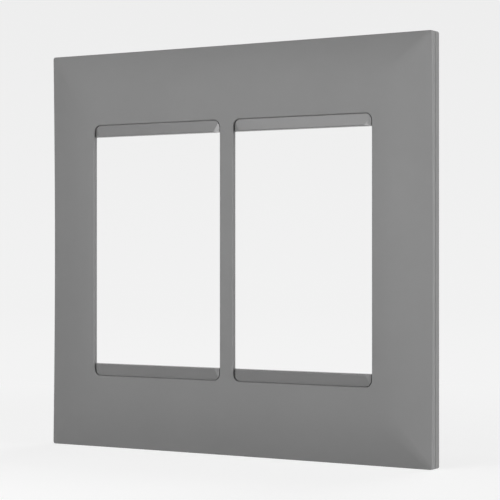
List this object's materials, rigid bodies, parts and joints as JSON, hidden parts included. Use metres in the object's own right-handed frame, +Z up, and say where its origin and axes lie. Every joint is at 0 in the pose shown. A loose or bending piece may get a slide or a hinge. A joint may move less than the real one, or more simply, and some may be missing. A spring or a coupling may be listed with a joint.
{
  "type": "switch plate",
  "caption": "Domed rectangular wall plate with tall windows side by side for switch and socket modules; a clip-on cover over a carrier frame that clips to a wall bracket.",
  "frame": {"origin": "centre of the plate in the wall plane, where the wall bracket holds it", "axes": "+Z up the plate, +X to the right as seen from the front, +Y into the wall; the face looks along -Y"},
  "size_m": [0.129, 0.0062, 0.1174],
  "materials": {
    "cover_plastic": "fine matt moulded grey",
    "frame_plastic": "satin moulded grey"
  },
  "bodies": {
    "root": {"front_cover": "cover_plastic", "base_frame": "frame_plastic"}
  },
  "joints": []
}
